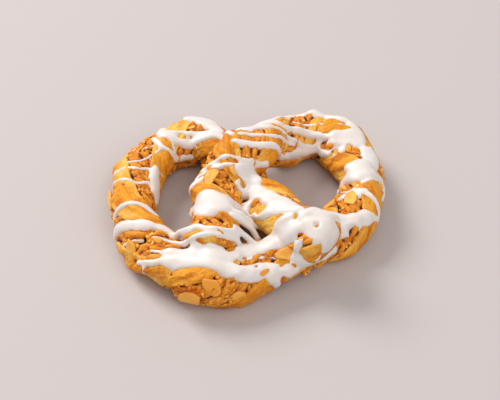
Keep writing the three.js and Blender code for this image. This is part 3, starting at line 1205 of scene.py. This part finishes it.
def new_material(name):
    """A new material, its tree and its Principled shader."""
    material = bpy.data.materials.new(name)
    material.use_nodes = True
    tree = material.node_tree
    return material, tree, tree.nodes["Principled BSDF"]


def bump(tree, shader, height, strength, distance):
    """Raises the surface by a height for shading only."""
    made = add_node(
        tree, "ShaderNodeBump", {"Height": height, "Strength": strength, "Distance": distance}
    )
    feed(tree, shader, {"Normal": made.outputs["Normal"]})


def baked_material(colours):
    """Golden dough in bands and rough nut filling between them."""
    material, tree, shader = new_material("baked dough and filling")
    straight = stored(tree, "straight", "Vector")
    dough = stored(tree, "dough")
    height = stored(tree, "height")
    # Pits, bumps and hollows of the surface, used below only for painted shade and painted highlight.
    pit_for_painted_light = stored(tree, "pit_for_painted_light")
    hollow_for_painted_shade = stored(tree, "hollow_for_painted_shade")
    marks = toasting(tree, straight, 140.0, 560.0, 1100.0)
    stretch = add_node(
        tree, "ShaderNodeVectorMath", {0: straight, 1: (0.16, 1.0, 1.0)}, operation="MULTIPLY"
    )
    streaks = add_node(
        tree,
        "ShaderNodeTexNoise",
        {"Vector": stretch.outputs[0], "Scale": 650.0, "Detail": 4.0, "Roughness": 0.6},
    ).outputs["Fac"]

    # Dough: pale in its folds, golden on its crown, brown and speckled where the oven caught it. The
    # brown in its pits and the dark caramel colour in the hollows where the rope's parts meet are
    # painted shade.
    crown = ramp(tree, height, 0.0, 1.9)
    crust = mixed(tree, crown, colours.pale, colours.golden)
    streaky = times(tree, ramp(tree, streaks, 0.5, 0.7), 0.55)
    crust = mixed(tree, streaky, crust, colours.pale)
    toast = times(tree, ramp(tree, marks["Patches"], 0.46, 0.66), crown)
    crust = mixed(tree, times(tree, toast, 0.85), crust, colours.brown)
    speckle = times(tree, ramp(tree, marks["Grain"], 0.52, 0.68), 0.55)
    crust = mixed(tree, speckle, crust, colours.brown)
    # Painted shade: brown in the dough's pits.
    crust = mixed(tree, ramp(tree, pit_for_painted_light, 0.12, 0.5), crust, colours.brown)
    # Painted shade: dark caramel colour in the hollows where the rope's parts meet.
    crust = mixed(tree, ramp(tree, hollow_for_painted_shade, 0.3, 1.2), crust, colours.caramel_and_painted_shade)

    # Filling: orange paste with toasted grains, brown patches and pale crumbs. The lighter
    # toasted-almond colour on its bumps is a painted highlight, and the caramel colour in its pits and
    # hollows is partly caramel and partly painted shade.
    paste = mixed(tree, ramp(tree, marks["Grain"], 0.36, 0.6), colours.paste, colours.toasted)
    warm = times(tree, ramp(tree, marks["Patches"], 0.45, 0.65), 0.6)
    paste = mixed(tree, warm, paste, colours.brown)
    pale_crumbs = times(tree, ramp(tree, height, -0.2, 1.4), marks["Flecks"])
    paste = mixed(tree, times(tree, pale_crumbs, 0.9), paste, colours.nut)
    # Painted highlight: lighter toasted-almond colour on the filling's bumps.
    paste = mixed(tree, ramp(tree, pit_for_painted_light, -0.02, -0.3), paste, colours.toasted_nut_and_highlight)
    # Caramel colour in the filling's pits, partly caramel and partly painted shade.
    paste = mixed(tree, ramp(tree, pit_for_painted_light, 0.0, 0.24), paste, colours.caramel_and_painted_shade)
    # Painted shade: dark caramel colour in the hollows where the rope's parts meet.
    paste = mixed(tree, ramp(tree, hollow_for_painted_shade, 0.15, 1.0), paste, colours.caramel_and_painted_shade)

    colour = mixed(tree, ramp(tree, dough, 0.3, 0.7), paste, crust)
    relief = plus(tree, times(tree, streaks, 0.7), marks["Grain"])
    relief = plus(tree, relief, times(tree, marks["Flecks"], 0.25))
    bump(tree, shader, relief, 0.85, 0.0009)
    looks = {
        "Base Color": colour,
        "Roughness": spread_over(tree, marks["Patches"], 0.4, 0.65),
        "Specular IOR Level": 0.25,
        "Subsurface Weight": 0.1,
        "Subsurface Radius": (1.0, 0.5, 0.2),
        "Subsurface Scale": 0.001,
    }
    feed(tree, shader, looks)
    return material


def icing_material(colours):
    """Sugar icing, white, a little see-through and glossy where it ran."""
    material, tree, shader = new_material("sugar icing")
    place = add_node(tree, "ShaderNodeTexCoord").outputs["Object"]
    marks = toasting(tree, place, 70.0, 500.0, 1800.0)
    thin = ramp(tree, marks["Patches"], 0.4, 0.62)
    bump(tree, shader, marks["Grain"], 0.12, 0.0003)
    looks = {
        "Base Color": mixed(tree, thin, colours.icing, colours.icing_thin),
        "Roughness": spread_over(tree, marks["Patches"], 0.3, 0.48),
        "Subsurface Weight": 0.5,
        "Subsurface Radius": (1.0, 0.85, 0.7),
        "Subsurface Scale": 0.0012,
        "Coat Weight": 0.2,
        "Coat Roughness": 0.25,
    }
    feed(tree, shader, looks)
    return material


def almond_material(colours):
    """Toasted almond: cream in the middle, brown skin along the rim."""
    material, tree, shader = new_material("toasted almond")
    place = add_node(tree, "ShaderNodeTexCoord").outputs["Object"]
    marks = toasting(tree, place, 160.0, 900.0, 2200.0)
    rim = plus(tree, stored(tree, "rim"), times(tree, marks["Patches"], 0.3))
    flesh = mixed(tree, stored(tree, "kind"), colours.nut, colours.toasted_nut_and_highlight)
    flesh = mixed(tree, ramp(tree, marks["Patches"], 0.4, 0.7), flesh, colours.toasted_nut_and_highlight)
    colour = mixed(tree, ramp(tree, rim, 0.95, 1.22), flesh, colours.nut_skin)
    bump(tree, shader, marks["Grain"], 0.3, 0.0004)
    looks = {
        "Base Color": colour,
        "Roughness": ramp(tree, marks["Patches"], -0.4, 1.4),
        "Subsurface Weight": 0.2,
        "Subsurface Scale": 0.001,
    }
    feed(tree, shader, looks)
    return material


def floor_material(stage):
    """A plain pale floor."""
    material, tree, shader = new_material("pale floor")
    place = add_node(tree, "ShaderNodeTexCoord").outputs["Object"]
    marks = toasting(tree, place, 3.0, 40.0, 300.0)
    darker = tuple(0.985 * part for part in stage.floor)
    colour = mixed(tree, marks["Patches"], stage.floor, darker)
    feed(tree, shader, {"Base Color": colour, "Roughness": 0.7, "Specular IOR Level": 0.2})
    return material


# ---- Settings ----


def size_setting(name, description, default):
    """A length in metres that the user can change."""
    return bpy.props.FloatProperty(
        name=name,
        description=description,
        default=default,
        subtype="DISTANCE",
        unit="LENGTH",
        precision=4,
    )


def number_setting(name, description, default):
    """A plain number that the user can change."""
    return bpy.props.FloatProperty(name=name, description=description, default=default)


def count_setting(name, description, default):
    """A whole number that the user can change."""
    return bpy.props.IntProperty(name=name, description=description, default=default, min=0)


def colour_setting(name, description, screen):
    """A colour that the user can change, given as it looks on a screen."""
    return bpy.props.FloatVectorProperty(
        name=name, description=description, default=linear(*screen), subtype="COLOR", size=3
    )


class PRETZEL_PG_rope(bpy.types.PropertyGroup):
    """The rope of dough and filling"""

    voxel: size_setting("Voxel", "Size of the grid that the rope is grown on", 0.0006)
    most_triangles: count_setting("Most triangles", "The baked rope is thinned to these", 190000)
    dough_edge: number_setting("Dough edge", "Lower gives wider bands of dough", -0.12)
    leaf_step: number_setting("Leaf step", "Drop where a leaf of dough ends, in mm", 0.7)
    crumb_height: number_setting("Crumb height", "How rough the filling is", 1.0)


class PRETZEL_PG_icing(bpy.types.PropertyGroup):
    """The drizzled icing"""

    thickness: size_setting("Thickness", "Depth of a pool of icing", 0.0017)
    most_triangles: count_setting("Most triangles", "The icing is thinned to these", 140000)


class PRETZEL_PG_almonds(bpy.types.PropertyGroup):
    """The almond slices and crumbs"""

    length: size_setting("Length", "Length of a whole slice", 0.0125)
    width: size_setting("Width", "Width of a whole slice", 0.008)
    thickness: size_setting("Thickness", "Thickness of a slice", 0.0012)
    lift: size_setting("Lift", "How far a slice stands off the filling", 0.0006)
    shards: count_setting("Shards", "Broken pieces of slices", 150)
    crumbs: count_setting("Crumbs", "Crumbs of nut", 260)


class PRETZEL_PG_colours(bpy.types.PropertyGroup):
    """The colours of everything that was baked or iced, some of them also painted as shade and
    highlight
    """

    pale: colour_setting("Pale dough", "Dough in its folds", (0.99, 0.79, 0.38))
    golden: colour_setting("Golden dough", "Dough on its crown", (0.93, 0.61, 0.085))
    # Brown dough, also painted into the dough's pits as shade.
    brown: colour_setting("Brown dough", "Dough that the oven caught", (0.78, 0.38, 0.008))
    paste: colour_setting("Filling", "Nut paste", (0.79, 0.395, 0.035))
    toasted: colour_setting("Toasted filling", "Nut paste on top", (0.93, 0.6, 0.17))
    # Dark caramel colour, partly caramel and partly painted shade in the pits and hollows of the dough
    # and filling.
    caramel_and_painted_shade: colour_setting("Caramel", "Filling in its pits", (0.27, 0.075, 0.002))
    nut: colour_setting("Almond", "Cut almond", (0.99, 0.765, 0.34))
    # Toasted almond colour, also painted on the filling's bumps as a highlight.
    toasted_nut_and_highlight: colour_setting("Toasted almond", "Browned almond", (0.95, 0.63, 0.17))
    nut_skin: colour_setting("Almond skin", "The skin along a slice's rim", (0.66, 0.33, 0.05))
    icing: colour_setting("Icing", "Icing in pools", (0.895, 0.87, 0.855))
    icing_thin: colour_setting("Thin icing", "Icing that the dough shows through", (0.89, 0.85, 0.82))


class PRETZEL_PG_stage(bpy.types.PropertyGroup):
    """The floor, the lights and the camera"""

    floor: colour_setting("Floor", "Colour of the floor", (0.758, 0.724, 0.716))
    distance: size_setting("Distance", "From the camera to the pretzel", 0.617)
    elevation: number_setting("Elevation", "How far the camera looks down, in degrees", 45.0)
    lens: number_setting("Lens", "Focal length in mm", 85.0)


# ---- Operators, panel and registration ----


AIM = Vector((0.00078, -0.00045, 0.0142))  # the point that the camera looks at
FLOOR_SIZE = 6.0
FLOOR_GAP = 0.00005  # keeps the floor and the pretzel's flat base apart
LIGHT_COLOUR = (1.0, 0.99, 0.98)
SKY_COLOUR = (1.0, 0.985, 0.98)
SKY_STRENGTH = 0.51

# The lights: name, place, width in metres and power in watts.
LIGHTS = (
    ("window", (-1.35, 1.2, 1.6), 1.15, 50.0),
    ("room", (0.9, -1.2, 1.9), 2.0, 24.0),
)


class PRETZEL_OT_bake_rope(bpy.types.Operator):
    """Bake the twisted rope of dough and nut filling"""

    bl_idname = "pretzel.bake_rope"
    bl_label = "Bake the Rope"

    def execute(self, context):
        scene = context.scene
        made = bake_rope(scene.pretzel_rope)
        made.data.materials.append(baked_material(scene.pretzel_colours))
        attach(made, BODY)
        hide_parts("pretzel")
        return {"FINISHED"}


class PRETZEL_OT_drizzle_icing(bpy.types.Operator):
    """Drizzle sugar icing over the baked rope"""

    bl_idname = "pretzel.drizzle_icing"
    bl_label = "Drizzle the Icing"

    def execute(self, context):
        scene = context.scene
        made = ice_pretzel(scene.pretzel_icing)
        made.data.materials.append(icing_material(scene.pretzel_colours))
        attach(made, BODY)
        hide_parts(*[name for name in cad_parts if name.startswith("icing_")])
        return {"FINISHED"}


class PRETZEL_OT_lay_almonds(bpy.types.Operator):
    """Lay the almond slices and scatter the crumbs"""

    bl_idname = "pretzel.lay_almonds"
    bl_label = "Lay the Almonds"

    def execute(self, context):
        scene = context.scene
        rope = bpy.data.objects["baked_pretzel"]
        rope.data.calc_loop_triangles()
        corners = [tuple(triangle.vertices) for triangle in rope.data.loop_triangles]
        rope_tree = BVHTree.FromPolygons(points_of(rope).tolist(), corners)
        material = almond_material(scene.pretzel_colours)
        pieces = lay_almonds(scene.pretzel_almonds, rope_tree)
        pieces.append(scatter_crumbs(scene.pretzel_almonds, rope_tree))
        for piece in pieces:
            piece.data.materials.append(material)
            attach(piece, BODY)
        return {"FINISHED"}


class PRETZEL_OT_set_stage(bpy.types.Operator):
    """Set up the floor, the lights and the camera"""

    bl_idname = "pretzel.set_stage"
    bl_label = "Set the Stage"

    def execute(self, context):
        scene = context.scene
        stage = scene.pretzel_stage
        scene.view_settings.view_transform = "Standard"
        bpy.ops.mesh.primitive_plane_add(size=FLOOR_SIZE, location=(0, 0, -FLOOR_GAP))
        floor = context.active_object
        floor.name = "floor"
        floor.data.materials.append(floor_material(stage))
        add_camera(scene, stage)
        for name, place, size, power in LIGHTS:
            add_light(scene, name, place, size, power)
        scene.world = bpy.data.worlds.new("room light")
        scene.world.use_nodes = True
        tree = scene.world.node_tree
        feed(tree, tree.nodes["Background"], {"Color": SKY_COLOUR, "Strength": SKY_STRENGTH})
        return {"FINISHED"}


def add_camera(scene, stage):
    """The camera, above the front of the pretzel."""
    camera = bpy.data.objects.new("camera", bpy.data.cameras.new("camera"))
    scene.collection.objects.link(camera)
    slope = math.radians(stage.elevation)
    back = Vector((0, -math.cos(slope), math.sin(slope)))
    camera.location = AIM + stage.distance * back
    camera.rotation_euler = back.to_track_quat("Z", "Y").to_euler()
    camera.data.lens = stage.lens
    camera.data.clip_start = 0.01
    scene.camera = camera


def add_light(scene, name, place, size, power):
    """A square soft light that faces the pretzel."""
    light = bpy.data.lights.new(name, "AREA")
    light.size = size
    light.energy = power
    light.color = LIGHT_COLOUR
    made = bpy.data.objects.new(name, light)
    made.location = place
    made.rotation_euler = Vector(place).to_track_quat("Z", "Y").to_euler()
    scene.collection.objects.link(made)


STEPS = (
    PRETZEL_OT_bake_rope,
    PRETZEL_OT_drizzle_icing,
    PRETZEL_OT_lay_almonds,
    PRETZEL_OT_set_stage,
)


class PRETZEL_PT_steps(bpy.types.Panel):
    """The steps of making the pretzel, in order"""

    bl_idname = "PRETZEL_PT_steps"
    bl_label = "Twisted Pretzel"
    bl_space_type = "VIEW_3D"
    bl_region_type = "UI"
    bl_category = "Pretzel"

    def draw(self, context):
        for step in STEPS:
            self.layout.operator(step.bl_idname)


GROUPS = {
    "pretzel_rope": PRETZEL_PG_rope,
    "pretzel_icing": PRETZEL_PG_icing,
    "pretzel_almonds": PRETZEL_PG_almonds,
    "pretzel_colours": PRETZEL_PG_colours,
    "pretzel_stage": PRETZEL_PG_stage,
}


def register():
    """Registers the settings, the steps and the panel."""
    for name, group in GROUPS.items():
        bpy.utils.register_class(group)
        setattr(bpy.types.Scene, name, bpy.props.PointerProperty(type=group))
    for step in STEPS:
        bpy.utils.register_class(step)
    bpy.utils.register_class(PRETZEL_PT_steps)


def unregister():
    """Takes back everything that register added."""
    bpy.utils.unregister_class(PRETZEL_PT_steps)
    for step in reversed(STEPS):
        bpy.utils.unregister_class(step)
    for name, group in GROUPS.items():
        delattr(bpy.types.Scene, name)
        bpy.utils.unregister_class(group)


def main():
    """Makes the pretzel and its stage."""
    register()
    bpy.ops.pretzel.bake_rope()
    bpy.ops.pretzel.drizzle_icing()
    bpy.ops.pretzel.lay_almonds()
    bpy.ops.pretzel.set_stage()


if __name__ == "__main__":
    main()
